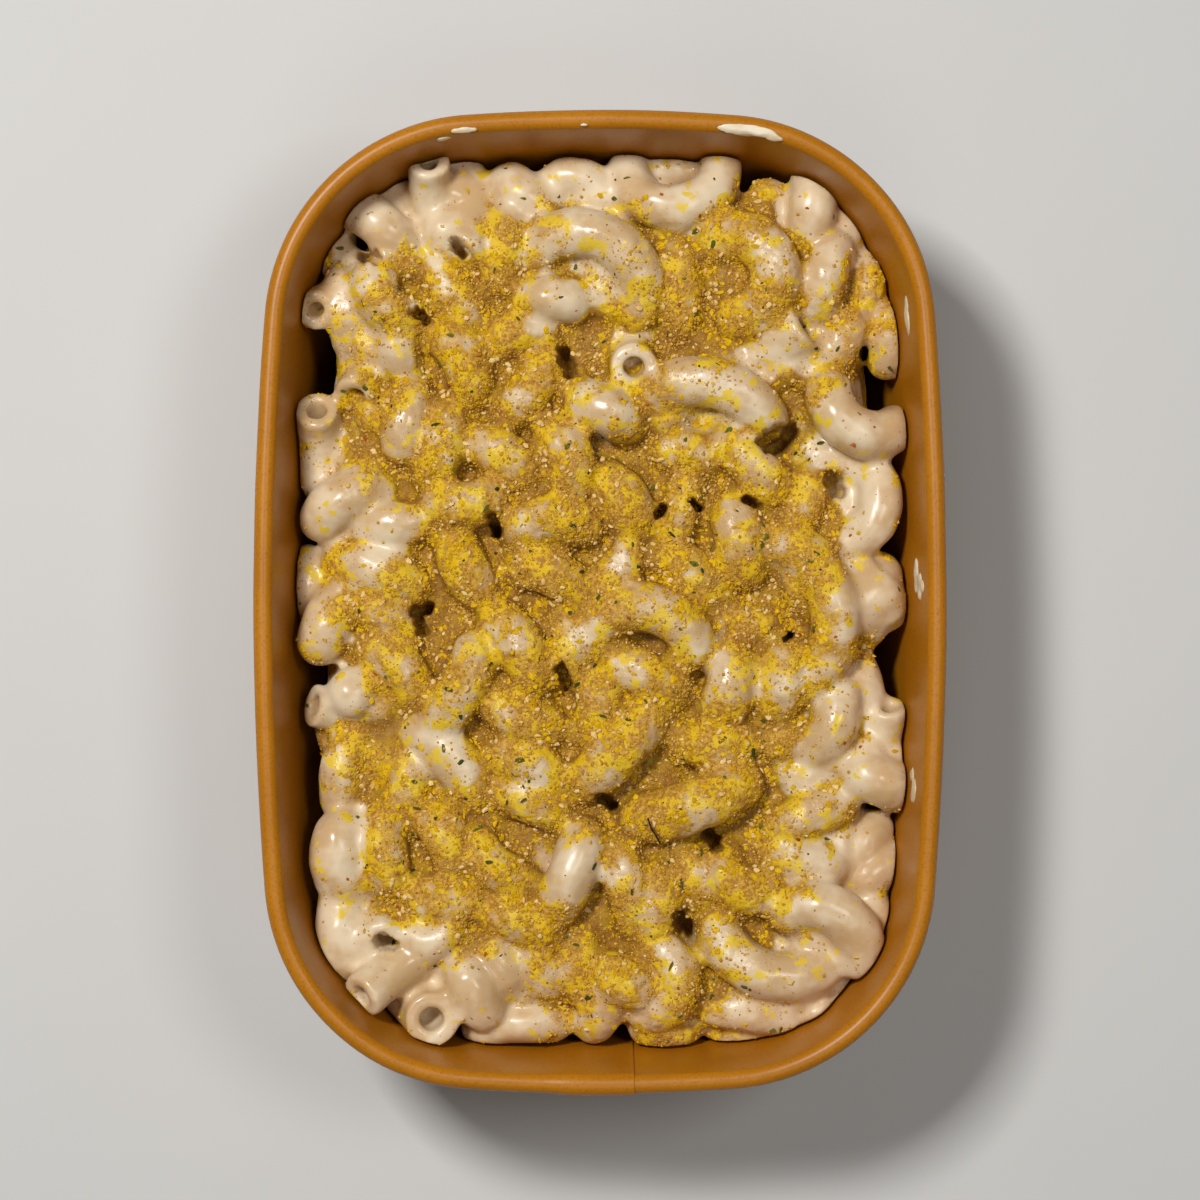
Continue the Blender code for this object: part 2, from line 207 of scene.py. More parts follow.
    ((22, -77.3, 36.8), (27, -77.6, 37.2), (32, -77.2, 36.8), 6.0, "rr"),
    # towards the seam end, left
    ((-49.5, -7, 41.2), (-48, -3, 40.8), (-45, 1, 40), 9.4, "rr"),
    ((-44.5, -16.3, 41.7), (-42, -15, 40.5), (-38, -13, 39.5), 9.0, "rr"),
    ((-51.3, -18.4, 40.2), (-48, -19.3, 38.8), (-43, -21.5, 38.5), 8.0, "or"),
    ((-21.8, -8.6, 41.6), (-24.3, -15, 42), (-28.5, -21.3, 41.6), 8.6, "rr"),
    ((-34, -23, 40.3), (-26.5, -27.2, 41.5), (-23, -35, 40.8), 9.0, "rr"),
    ((-43, -23.5, 39.3), (-46, -29, 39.8), (-46, -36, 38.8), 7.8, "rr"),
    ((-35, -27.5, 40.2), (-34, -32, 40.8), (-37, -37, 40.3), 8.0, "rr"),
    ((-41, -8.5, 40.3), (-36, -11, 41.2), (-33, -16, 40.8), 8.6, "rr"),
    ((-18, -3, 41.3), (-14, -8, 41.9), (-12, -14, 41.5), 8.8, "rr"),
    ((-7, -3, 41.3), (-5, -8, 41.7), (-8, -12.5, 41.2), 8.2, "rr"),
    ((-2, -13, 41.2), (0, -18, 41.7), (-3, -23.5, 41.2), 8.6, "rr"),
    ((-18.5, -17, 41.2), (-14, -21, 41.7), (-9, -22, 41.3), 8.6, "rr"),
    ((-18, -27, 41.2), (-13, -28.6, 41.7), (-8, -31, 41.2), 8.6, "rr"),
    ((-18, -33.8, 40.8), (-12, -35.3, 41.5), (-7, -38, 41), 8.4, "rr"),
    ((-46.2, -41.5, 41.4), (-47, -46, 41), (-44, -51.5, 40), 9.6, "rr"),
    ((-46, -54, 40.2), (-46.3, -59, 40.6), (-45, -65, 39.3), 9.2, "rr"),
    ((-42.3, -69.8, 43.0), (-37, -66, 41.4), (-28.3, -59.3, 41), 8.4, "or"),
    ((-38.5, -60.2, 42.2), (-39.3, -57.3, 40), (-41, -53, 38.8), 7.4, "or"),
    ((-34, -57, 41), (-31, -60.6, 41.4), (-26.8, -57.6, 41.8), 6.8, "rr"),
    ((-29.6, -74, 42.2), (-31.5, -72.6, 38.8), (-34.5, -70, 36.5), 9.8, "or"),
    ((-24.5, -64.5, 40.4), (-22.6, -69, 41.1), (-21, -72.3, 40.8), 9.0, "rr"),
    ((-21, -61, 40.7), (-17.6, -64.5, 41.1), (-16, -67.8, 40.5), 7.6, "rr"),
    ((-13, -60.5, 40.3), (-11, -64.7, 40.8), (-8, -67.7, 40.3), 8.4, "rr"),
    ((-21.5, -76.2, 37), (-15, -75.4, 38), (-8.3, -75.2, 38), 7.4, "rr"),
    ((-3, -42, 41.6), (-5, -48, 42), (-7.9, -54.3, 41.4), 8.8, "rr"),
    ((-38, -38.5, 40.8), (-38.3, -44, 41.4), (-36, -50, 40.8), 8.8, "rr"),
    ((-31, -38, 41), (-27, -42, 41.6), (-26, -47.5, 41.1), 8.6, "rr"),
    ((-33.5, -51, 40.7), (-28, -53.3, 41.4), (-22, -53, 40.8), 8.6, "rr"),
    ((-22, -43, 41.2), (-19, -47, 41.6), (-14, -49.5, 40.9), 8.6, "rr"),
    ((-20, -55.5, 40.8), (-14, -56.3, 41.5), (-9, -59.5, 40.8), 8.4, "rr"),
    ((1.5, -44.5, 41.2), (5, -50, 41.7), (6, -56.5, 41.2), 8.8, "rr"),
    ((10, -48.5, 41), (10.5, -54, 41.4), (8, -58.5, 40.8), 8.0, "rr"),
    ((-2, -59.5, 40.2), (-4, -64, 40.7), (-3, -69, 40.2), 8.0, "rr"),
)

# Thick sauce between the pieces: x, y, z and radius in mm.
SAUCE = (
    (-27, 66, 35.6, 5.6), (-26, 73, 34.6, 4.6), (-34, 60, 36.1, 4.2), (-41, 46, 35.6, 5.0),
    (-40, 33, 35.2, 4.6), (-42, 22, 35.1, 5.2), (-37, 9, 36.2, 5.0), (-43, 3, 35.8, 4.8),
    (-39, -18, 35.8, 4.4), (-30, -25, 36.0, 4.4), (-41, -48, 35.6, 5.2), (-43, -60, 35.8, 5.4),
    (-34, -60, 35.6, 4.8), (-25, -61, 36.0, 4.6), (-18, -58, 35.8, 4.4), (2, 60, 36.2, 4.8),
    (12, 33, 36.2, 5.0), (25, 33, 36.6, 4.8), (33, 42, 36.2, 4.8), (38, 44, 35.8, 4.6),
    (46, 0, 35.8, 6.4), (41, -28, 35.4, 4.6), (47, -27, 35.0, 4.8), (38, -60, 36.4, 5.0),
    (35, -70, 35.2, 4.8), (28, 20, 36.2, 4.8), (28, -12, 36.2, 4.6), (-5, 38, 36.2, 4.6),
)

# Where the top is left bare of crumbs: x, y and radius in mm, and how bare.
BARE = (
    (-30, 74, 11, 1), (-41, 67, 8, 1), (-28, 66, 7, 0.9), (-46, 57, 6, 0.55), (-50, 53, 5, 0.7),
    (-43, 45, 7, 0.6), (-36, 43, 5, 0.6), (-48, 38, 5, 0.6), (-15, 74, 7, 1), (-5, 76, 7, 0.9),
    (0, 72, 5, 0.5), (5, 77, 6, 1), (14, 73, 9, 0.95), (22, 77, 5, 1), (0, 65, 8, 0.75),
    (7, 57, 5, 0.6), (-8, 53.5, 6, 0.85), (-10, 63, 4, 0.7), (0, 55, 4, 0.6), (38, 72, 8, 1),
    (43, 66, 6, 0.9), (40, 60, 5, 0.6), (36, 45, 7, 0.75), (28, 43, 5, 0.8), (6, 43, 5, 0.8),
    (50, 45, 5, 0.6), (1, 34, 6, 0.85), (20, 36, 9, 0.65), (29, 34, 5, 0.8), (45, 31, 9, 1),
    (52, 30, 6, 1), (27, 24, 5, 0.5), (38, 27, 4, 0.6), (48, 18, 8, 0.95), (44, 12, 5, 0.7),
    (48, 1, 9, 1), (24, 12, 5, 0.5), (-50, 32, 6, 0.85), (-50, 22, 6, 0.7), (-50, 14, 7, 0.9),
    (-42, 20, 6, 0.5), (-39, 14, 7, 0.75), (-34, 29, 5, 0.6), (-40, 7, 6, 0.45), (-52, 3, 5, 0.8),
    (-50, -5, 6, 0.8), (-45, -16, 6, 0.95), (-51, -19, 5, 0.9), (-38, -19, 5, 0.4),
    (-27, -19, 4, 0.35), (-31, -24, 5, 0.7), (-27, -29, 6, 0.65), (-46, -31, 5, 0.5),
    (-47, -42, 8, 0.95), (-47, -52, 7, 0.8), (-46, -61, 8, 0.95), (-39, -66, 9, 1),
    (-31, -60, 6, 0.8), (-30, -73, 9, 1), (-21, -69, 7, 1), (-16, -66, 5, 0.7), (-15, -76, 8, 0.9),
    (-9, -67, 5, 0.35), (-5, -47, 7, 0.95), (-13, -33, 6, 0.4), (23, -13, 6, 0.6), (33, -12, 5, 0.4),
    (42, -18, 6, 0.8), (47, -15, 5, 0.8), (51, -21, 6, 1), (39, -27, 5, 0.7), (49, -31, 8, 1),
    (36, -30, 5, 0.6), (38, -36, 5, 0.6), (38, -46, 5, 0.75), (47, -45, 8, 1), (50, -57, 7, 1),
    (41, -55, 8, 0.9), (47, -62, 7, 1), (36, -66, 9, 0.8), (28, -64, 5, 0.5), (28, -74, 8, 0.7),
    (39, -72, 7, 0.9), (20, -60, 5, 0.5), (12, -64, 4, 0.35), (1, -76, 5, 0.6), (10, -2, 6, 0.4),
    (17, -6, 4, 0.5),
)

# Sauce on the board: x and y of the rim nearest to it, height, and half its length, width and
# thickness, in mm. Above the roll's middle it lies on the rim.
SMEARS = (
    (24, 86, 54.6, 3.6, 1.1, 0.4), (28, 85, 54.7, 3.6, 1.1, 0.45), (31, 84.5, 54.3, 2.2, 0.9, 0.35),
    (26, 85.5, 53.9, 2.6, 0.9, 0.3), (-24, 86, 54.4, 2.6, 0.7, 0.3), (-28, 84.5, 52, 1.6, 1.2, 0.3),
    (60, 3.5, 46.5, 2.6, 2.2, 0.32), (60, 1.8, 48.5, 1.3, 1.6, 0.28), (60, 6, 43.5, 2.4, 2.0, 0.32),
    (60, 2.2, 43.5, 1.4, 2.4, 0.3), (60, -33, 45.5, 2.4, 2.2, 0.32), (60, -31, 43.5, 1.5, 1.8, 0.28),
    (58, 50, 45.5, 3.4, 1.8, 0.3), (58, 53, 46.5, 1.8, 1.2, 0.26), (-3, 86, 54.4, 0.9, 0.5, 0.25),
)

# The dry stalk on the crumbs, in mm.
STALK = ((8.4, -38.0, 46.2), (9.0, -39.8, 46.1), (9.9, -41.2, 45.7), (10.6, -42.6, 45.2))

# The few dark gaps and open ends among the crumbs: from x, y to x, y and radius in mm.
PITS = (
    (10.2, 15.7, 11.2, 16.5, 0.8), (26.2, 18.2, 28, 17, 0.75), (29.8, 28.6, 33.6, 30.2, 1.5),
    (31, 27, 32.5, 28, 1.2), (19.3, -41.3, 20.8, -43.6, 1.1), (13.9, -56, 15.8, -58.8, 1.1),
    (-33, -2, -30.6, -1.2, 0.9), (-32.3, -3, -31.6, -5.4, 0.8), (-19.3, 15, -18.4, 12.4, 0.85),
    (0.2, -35, 2.4, -36.4, 0.9), (-6.9, -12, -5.8, -14.6, 0.9), (-6.5, 44.2, -5.3, 41, 1.1),
    (-32.8, 51.4, -31, 50.2, 0.9), (33, -6.6, 34, -6, 0.5), (-25.9, 64, -24.5, 62, 0.8),
    (-38.9, -60.2, -37, -60.8, 0.95), (41.2, 21.5, 42.4, 19.6, 1.2), (16.4, 17.9, 17.6, 16.6, 0.6),
    (-42.3, 61.8, -40, 61, 1.1),
)
PIT_DEPTH = 7.0 * MM
# A pit sinks nothing under the first height and everything over the second.
PIT_FADE = (33 * MM, 36 * MM)
PIT_FLOOR = 0.5 * MM
PIT_EDGE = 1.3 * MM

# The loose bed that shows between them, its core, and how crumbs cover the heap.
BED_SPACING = 11.5 * MM
BED_TOP = 37.2 * MM
BED_TUBE = 7.4 * MM
BED_ARC = 7.5 * MM
BED_CORE_TOP = 37.4 * MM
CORE_RIM_SKIP = 24
CORE_TO_WALL = 2.6 * MM
SHOULDER_TO_WALL = 8.5 * MM
CORE_VOXEL = 0.9 * MM
CORE_BUMPS = 1.6 * MM
BED_TO_WALL = 2.2 * MM
HOLLOW_CELL = 1.6 * MM
HOLLOW_REACH = 7
COVER_SWAY = 4.5 * MM
BED_SEED = 5
LIE_SEED = 12

# ---- Grains and smears ----
GRAIN_SHAPES = 8
GRAIN_ROUGHNESS = 0.3
GRAIN_LEAN = 0.35
SMEAR_VOXEL = 0.28 * MM
SMEAR_TOP = TUB_HEIGHT - 0.02 * MM
STALK_RADIUS = 0.16 * MM


def linear(code):
    """An sRGB hex colour as linear red, green, blue and alpha."""
    parts = [int(code[i:i + 2], 16) / 255 for i in (0, 2, 4)]
    return (*[p / 12.92 if p <= 0.04045 else ((p + 0.055) / 1.055) ** 2.4 for p in parts], 1)


def bow_radius(half, other_centre, centre):
    """Radius of the side arc that passes the rim's half size and runs smoothly into the corner arcs."""
    reach = centre - half
    return (CORNER_RADIUS**2 - reach**2 - other_centre**2) / (2 * (reach + CORNER_RADIUS))


LONG_BOW = bow_radius(RIM_HALF_WIDTH, CORNER_CENTRE.y, CORNER_CENTRE.x)
SHORT_BOW = bow_radius(RIM_HALF_LENGTH, CORNER_CENTRE.x, CORNER_CENTRE.y)
LONG_BOW_CENTRE = Vector((RIM_HALF_WIDTH - LONG_BOW, 0))
SHORT_BOW_CENTRE = Vector((0, RIM_HALF_LENGTH - SHORT_BOW))
LONG_BOW_END = math.atan2(CORNER_CENTRE.y, CORNER_CENTRE.x - LONG_BOW_CENTRE.x)
SHORT_BOW_END = math.pi / 2 - math.atan2(CORNER_CENTRE.x, CORNER_CENTRE.y - SHORT_BOW_CENTRE.y)
UP_THE_WALL = Vector((math.sin(WALL_SLOPE), math.cos(WALL_SLOPE)))
INTO_THE_TUB = Vector((-math.cos(WALL_SLOPE), math.sin(WALL_SLOPE)))
ROLL_CENTRE = Vector((-ROLL_RADIUS, TUB_HEIGHT - ROLL_RADIUS))
WALL_TOP = ROLL_CENTRE + (ROLL_RADIUS - BOARD / 2) * INTO_THE_TUB


def rim_distance(x, y):
    """How far points lie outside the rim's outer edge, for arrays or numbers; inside it is negative."""
    x, y = np.abs(x), np.abs(y)
    by_long = np.arctan2(y - LONG_BOW_CENTRE.y, x - LONG_BOW_CENTRE.x) < LONG_BOW_END
    by_short = np.arctan2(y - SHORT_BOW_CENTRE.y, x - SHORT_BOW_CENTRE.x) > SHORT_BOW_END
    to_long = np.hypot(x - LONG_BOW_CENTRE.x, y - LONG_BOW_CENTRE.y) - LONG_BOW
    to_short = np.hypot(x - SHORT_BOW_CENTRE.x, y - SHORT_BOW_CENTRE.y) - SHORT_BOW
    to_corner = np.hypot(x - CORNER_CENTRE.x, y - CORNER_CENTRE.y) - CORNER_RADIUS
    return np.where(by_long, to_long, np.where(by_short, to_short, to_corner))


def wall_inner_face(z):
    """Outline offset of the wall's inner face at height z, for arrays or numbers."""
    return WALL_TOP.x - (WALL_TOP.y - z) * math.tan(WALL_SLOPE) - BOARD / 2 / math.cos(WALL_SLOPE)


def rim_line():
    """Close points of the rim's edge and outward normals, anticlockwise from the -Y end's middle."""
    fine = math.radians(0.25)
    quarter = []
    for centre, radius, first, last in (
        (LONG_BOW_CENTRE, LONG_BOW, 0, LONG_BOW_END),
        (CORNER_CENTRE, CORNER_RADIUS, LONG_BOW_END, SHORT_BOW_END),
        (SHORT_BOW_CENTRE, SHORT_BOW, SHORT_BOW_END, math.pi / 2),
    ):
        steps = max(8, int((last - first) / fine))
        for step in range(steps):
            angle = first + (last - first) * step / steps
            out = Vector((math.cos(angle), math.sin(angle)))
            quarter.append((centre + radius * out, out))
    back = [(Vector((-p.x, p.y)), Vector((-n.x, n.y))) for p, n in quarter[:0:-1]]
    half = quarter + [(Vector((0, RIM_HALF_LENGTH)), Vector((0, 1)))] + back
    ring = half + [(-p, -n) for p, n in half]
    start = min(range(len(ring)), key=lambda i: (ring[i][0] - Vector((0, -RIM_HALF_LENGTH))).length)
    return ring[start:] + ring[:start] + [ring[start]]


# ---- Small tools ----
def link(name, mesh):
    """An object of that name in the scene, at the origin."""
    obj = bpy.data.objects.new(name, mesh)
    bpy.context.scene.collection.objects.link(obj)
    return obj


def mesh_from(bm, name):
    """The bmesh as a mesh; the bmesh is let go."""
    mesh = bpy.data.meshes.new(name)
    bm.to_mesh(mesh)
    bm.free()
    return mesh


def with_modifier(mesh, kind, **settings):
    """The mesh as one modifier leaves it; the mesh that went in is removed."""
    obj = link("work", mesh)
    modifier = obj.modifiers.new(kind, kind)
    for setting, value in settings.items():
        setattr(modifier, setting, value)
    seen = obj.evaluated_get(bpy.context.evaluated_depsgraph_get())
    made = bpy.data.meshes.new_from_object(seen)
    bpy.data.objects.remove(obj)
    bpy.data.meshes.remove(mesh)
    return made


def one_skin(mesh, voxel):
    """Everything in the mesh joined in one closed skin."""
    return with_modifier(mesh, "REMESH", mode="VOXEL", voxel_size=voxel)


def points_of(mesh):
    flat = np.empty(len(mesh.vertices) * 3, np.float32)
    mesh.vertices.foreach_get("co", flat)
    return flat.reshape(-1, 3)


def normals_of(mesh):
    flat = np.empty(len(mesh.vertices) * 3, np.float32)
    mesh.vertex_normals.foreach_get("vector", flat)
    return flat.reshape(-1, 3)


def set_points(mesh, points):
    mesh.vertices.foreach_set("co", np.ascontiguousarray(points, np.float32).ravel())
    mesh.update()


def noise_at(points, size, offset=0.0):
    """Smooth noise of about -1 to 1 at each point, with bumps of the given size."""
    shift = Vector((offset, offset * 0.7, -offset))
    return np.array([noise.noise(Vector(p) / size + shift) for p in points.tolist()])


def smooth_step(value, low, high):
    share = np.clip((value - low) / (high - low), 0, 1)
    return share * share * (3 - 2 * share)


def put_attribute(mesh, name, values):
    layer = mesh.attributes.new(name, "FLOAT", "POINT")
    layer.data.foreach_set("value", np.ascontiguousarray(values, np.float32))


# ---- The tub ----
def board_section():
    """The board's middle line from hem to roll, in the plane across the wall, with its normals."""
    fold_height = HEM_FOLD_RADIUS + BOARD / 2
    foot_height = fold_height - HEM_FOLD_RADIUS * math.sin(WALL_SLOPE)
    wall_foot = WALL_TOP - UP_THE_WALL * (WALL_TOP.y - foot_height) / math.cos(WALL_SLOPE)
    fold_centre = wall_foot + HEM_FOLD_RADIUS * INTO_THE_TUB
    leg_foot = wall_foot + 2 * HEM_FOLD_RADIUS * INTO_THE_TUB
    line = [(leg_foot + HEM_LEG * UP_THE_WALL, INTO_THE_TUB)]
    for step in range(FOLD_STEPS + 1):
        angle = math.pi - WALL_SLOPE + math.pi * step / FOLD_STEPS
        out = Vector((math.cos(angle), math.sin(angle)))
        line.append((fold_centre + HEM_FOLD_RADIUS * out, out))
    for step in range(1, WALL_STEPS):
        line.append((wall_foot.lerp(WALL_TOP, step / WALL_STEPS), -INTO_THE_TUB))
    for step in range(ROLL_STEPS + 1):
        angle = math.pi - WALL_SLOPE - ROLL_TURN * step / ROLL_STEPS
        out = Vector((math.cos(angle), math.sin(angle)))
        line.append((ROLL_CENTRE + (ROLL_RADIUS - BOARD / 2) * out, -out))
    return line


def paper_wall():
    """One strip of board swept round the outline, its end glued over its start."""
    line = rim_line()
    places = np.array([p for p, _ in line])
    outward = np.array([n for _, n in line])
    run = np.concatenate(([0], np.cumsum(np.linalg.norm(np.diff(places, axis=0), axis=1))))
    section = board_section()
    total = run[-1] + LAP
    stations = int(total / STATION_SPACING)
    bm = bmesh.new()
    rows = []
    for station in range(stations + 1):
        gone = total * station / stations
        at = (SEAM_X - gone) % run[-1]
        place = Vector([np.interp(at, run, places[:, k]) for k in (0, 1)])
        out = Vector([np.interp(at, run, outward[:, k]) for k in (0, 1)]).normalized()
        # The first stretch lies on the last one, on the food side.
        step_down = float(smooth_step(gone, LAP, LAP + LAP_RISE)) * LAP_STEP
        spot = Vector((*place, 0))
        sway = RIM_WAVE * (noise.noise(spot / RIM_WAVE_LENGTH) - 1) / 2
        lift = RIM_WAVE * (noise.noise(spot / RIM_WAVE_LENGTH + Vector((7, 3, 1))) - 1) / 2 - RIM_DROP
        row = []
        for side in (1, -1):
            for point, normal in section if side == 1 else section[::-1]:
                high = float(smooth_step(point.y, 6 * MM, 14 * MM))
                near_rim = float(smooth_step(point.y, 42 * MM, 52 * MM))
                p = point + normal * (side * BOARD / 2 + step_down * high)
                spread = p.x + sway * near_rim
                row.append(Vector((place.x + out.x * spread, place.y + out.y * spread,
                                   p.y + lift * near_rim)))
        rows.append(row)
    ring = [bm.verts.new(p) for p in rows[0]]
    edges = [bm.edges.new((ring[i - 1], ring[i])) for i in range(len(ring))]
    start = ring[:]
    for row in rows[1:]:
        made = bmesh.ops.extrude_edge_only(bm, edges=edges)["geom"]
        fresh = {v for v in made if isinstance(v, bmesh.types.BMVert)}
        edges = [e for e in made if isinstance(e, bmesh.types.BMEdge) and fresh.issuperset(e.verts)]
        ring = [next(e.other_vert(v) for e in v.link_edges if e.other_vert(v) in fresh) for v in ring]
        for vert, place in zip(ring, row):
            vert.co = place
    bm.faces.new(start)
    bm.faces.new(ring)
    bmesh.ops.recalc_face_normals(bm, faces=bm.faces)
    mesh = mesh_from(bm, "paper_wall")
    mesh.shade_smooth()
    mesh.set_sharp_from_angle(angle=math.radians(50))
    return link("paper_wall", mesh)


# ---- The macaroni ----
def stretched(point, sink):
    """A point of the list in metres, its height stretched about the crown and then let down."""
    below = CROWN - point[2]
    drop = RELIEF * min(below, STRETCHED_DEPTH) + max(below - STRETCHED_DEPTH, 0)
    return Vector((point[0], point[1], CROWN_HEIGHT - drop - sink)) * MM


def macaroni_piece(a, b, c, thickness, ends):
    """One bent tube on the circle through three points, hollow where an end is open, as a mesh."""
    bm = bmesh.new()
    across = (b - a).cross(c - a)
    centre = a + ((c - a).length_squared * across.cross(b - a)
                  + (b - a).length_squared * (c - a).cross(across)) / (2 * across.length_squared)
    spoke = a - centre
    axis = across.normalized()
    last = c - centre
    angle = math.atan2(spoke.cross(last).dot(axis), spoke.dot(last)) % math.tau
    radius = thickness / 2 * MM
    bend = spoke.length
    depth = min(END_DEPTH / bend, angle * (BOTH_ENDS_SHARE if ends == "oo" else END_SHARE))
    lap = BORE_LAP / bend
    runs = [(depth - lap if ends[0] == "o" else 0, angle - depth + lap if ends[1] == "o" else angle, 0)]
    if ends[0] == "o":
        runs.append((0, depth, radius * HOLE_SHARE))
    if ends[1] == "o":
        runs.append((angle - depth, angle, radius * HOLE_SHARE))
    for first, stop, hole in runs:
        turned = Matrix.Rotation(first, 3, axis) @ spoke
        along = axis.cross(turned).normalized()
        frame_of = Matrix((turned.normalized(), axis, along)).transposed().to_4x4()
        frame_of.translation = centre + turned
        ring = bmesh.ops.create_circle(
            bm, segments=TUBE_SIDES, radius=radius, matrix=frame_of, cap_ends=not hole)["verts"]
        if hole:
            ring += bmesh.ops.create_circle(bm, segments=TUBE_SIDES, radius=hole, matrix=frame_of)["verts"]
            bmesh.ops.bridge_loops(bm, edges=list({e for v in ring for e in v.link_edges}))
        faces = list({f for v in ring for f in v.link_faces})
        edges = list({e for v in ring for e in v.link_edges})
        bmesh.ops.spin(
            bm, geom=faces + edges + ring, cent=centre, axis=axis, dvec=(0, 0, 0),
            angle=stop - first, steps=max(4, round((stop - first) * bend / SPIN_STEP)),
            use_merge=False, use_duplicate=False)
    for place, kind in ((a, ends[0]), (c, ends[1])):
        if kind == "r":
            bmesh.ops.create_icosphere(
                bm, subdivisions=3, radius=radius * 0.97, matrix=Matrix.Translation(place))
    return mesh_from(bm, "piece")


def bed_pieces():
    """Loose pieces under the ones that show, in a seeded jumble inside the wall."""
    chance = np.random.default_rng(BED_SEED)
    pieces = []
    rows = int(RIM_HALF_LENGTH / BED_SPACING)
    columns = int(RIM_HALF_WIDTH / BED_SPACING)
    for row in range(-rows, rows + 1):
        for column in range(-columns, columns + 1):
            x, y = (np.array((column + 0.5 * (row % 2), row)) * BED_SPACING
                    + chance.uniform(-2.5, 2.5, 2) * MM)
            angle = chance.uniform(0, math.tau)
            sweep = chance.uniform(1.2, 2.4)
            tilt = chance.uniform(-0.3, 0.3)
            thickness = chance.uniform(0.94, 1.08) * BED_TUBE
            z = BED_TOP - thickness / 2 - chance.uniform(0, 2.5) * MM
            line = []
            for turn in (-sweep / 2, 0, sweep / 2):
                px = x + BED_ARC * (math.cos(angle + turn) - 0.6 * math.cos(angle))
                py = y + BED_ARC * (math.sin(angle + turn) - 0.6 * math.sin(angle))
                line.append(Vector((px, py, z + tilt * BED_ARC * math.sin(turn))))
            room = [rim_distance(p[0], p[1]) - wall_inner_face(BED_TOP) + thickness / 2 + BED_TO_WALL
                    for p in line]
            if max(room) < 0:
                pieces.append((*line, thickness / MM, "oo"))
    return pieces


def bed_core():
    """The solid under the bed, in to a shoulder along the wall, its top uneven and pitted."""
    low, high = CUT_HEIGHT - 4 * MM, BED_CORE_TOP
    bm = bmesh.new()
    loops = []
    for z, gap in ((low, CORE_TO_WALL), (high, SHOULDER_TO_WALL)):
        edge = wall_inner_face(z) - gap
        loops.append([Vector((*(point + out * edge), z)) for point, out in rim_line()[:-1:CORE_RIM_SKIP]])
    face = bm.faces.new([bm.verts.new(p) for p in loops[0]])
    raised = bmesh.ops.extrude_face_region(bm, geom=[face])["geom"]
    for vert in [v for v in raised if isinstance(v, bmesh.types.BMVert)]:
        nearest = min(range(len(loops[0])), key=lambda i: (loops[0][i] - vert.co).length)
        vert.co = loops[1][nearest]
    bmesh.ops.recalc_face_normals(bm, faces=bm.faces)
    mesh = one_skin(mesh_from(bm, "bed_core"), CORE_VOXEL)
    points = points_of(mesh)
    on_top = smooth_step(points[:, 2], low, high)
    points[:, 2] += on_top * noise_at(points, 6 * MM, 11.0) * CORE_BUMPS
    set_points(mesh, points)
    return mesh


def keep_in_the_tub(points):
    """Moves points that are past the wall back inside."""
    edge = wall_inner_face(points[:, 2]) - WALL_GAP
    excess = rim_distance(points[:, 0], points[:, 1]) - edge
    past = np.maximum(excess, 0)
    reach = np.maximum(np.hypot(points[:, 0], points[:, 1]), MM)
    points[:, 0] -= points[:, 0] / reach * past
    points[:, 1] -= points[:, 1] / reach * past
    return points


def cover(x, y):
    """How thickly crumbs lie over a place, 0 to 1."""
    share = np.ones_like(x)
    for spot_x, spot_y, radius, bare in BARE:
        away = np.hypot(x / MM - spot_x, y / MM - spot_y) / radius
        share *= 1 - bare * (1 - smooth_step(away, 0.55, 1.2))
    return share


def hollows(points):
    """How far places lie below the heap's level around them: 0 on the crowns, 1 in the creases."""
    across = [np.round(points[:, k] / HOLLOW_CELL).astype(int) for k in (0, 1)]
    across = [cells - cells.min() for cells in across]
    grid = np.full((across[0].max() + 1, across[1].max() + 1), BED_CORE_TOP)
    np.maximum.at(grid, tuple(across), points[:, 2])
    kernel = np.ones(HOLLOW_REACH) / HOLLOW_REACH
    for axis in (0, 1, 0, 1):
        grid = np.apply_along_axis(np.convolve, axis, grid, kernel, "same")
    return smooth_step(grid[tuple(across)] - points[:, 2], -0.6 * MM, 2.4 * MM)


def patchy_cover(points):
    """The cover, thicker in the creases and broken up as crumbs fall."""
    broken = (0.56 + 0.55 * hollows(points) + 0.55 * noise_at(points, 7 * MM, 5.0)
              + 0.4 * noise_at(points, 2.6 * MM, 6.0))
    x = points[:, 0] + COVER_SWAY * noise_at(points, 4 * MM, 13.0)
    y = points[:, 1] + COVER_SWAY * noise_at(points, 4 * MM, 17.0)
    return np.clip(cover(x, y) * np.clip(broken, 0.25, 1.1), 0, 1)


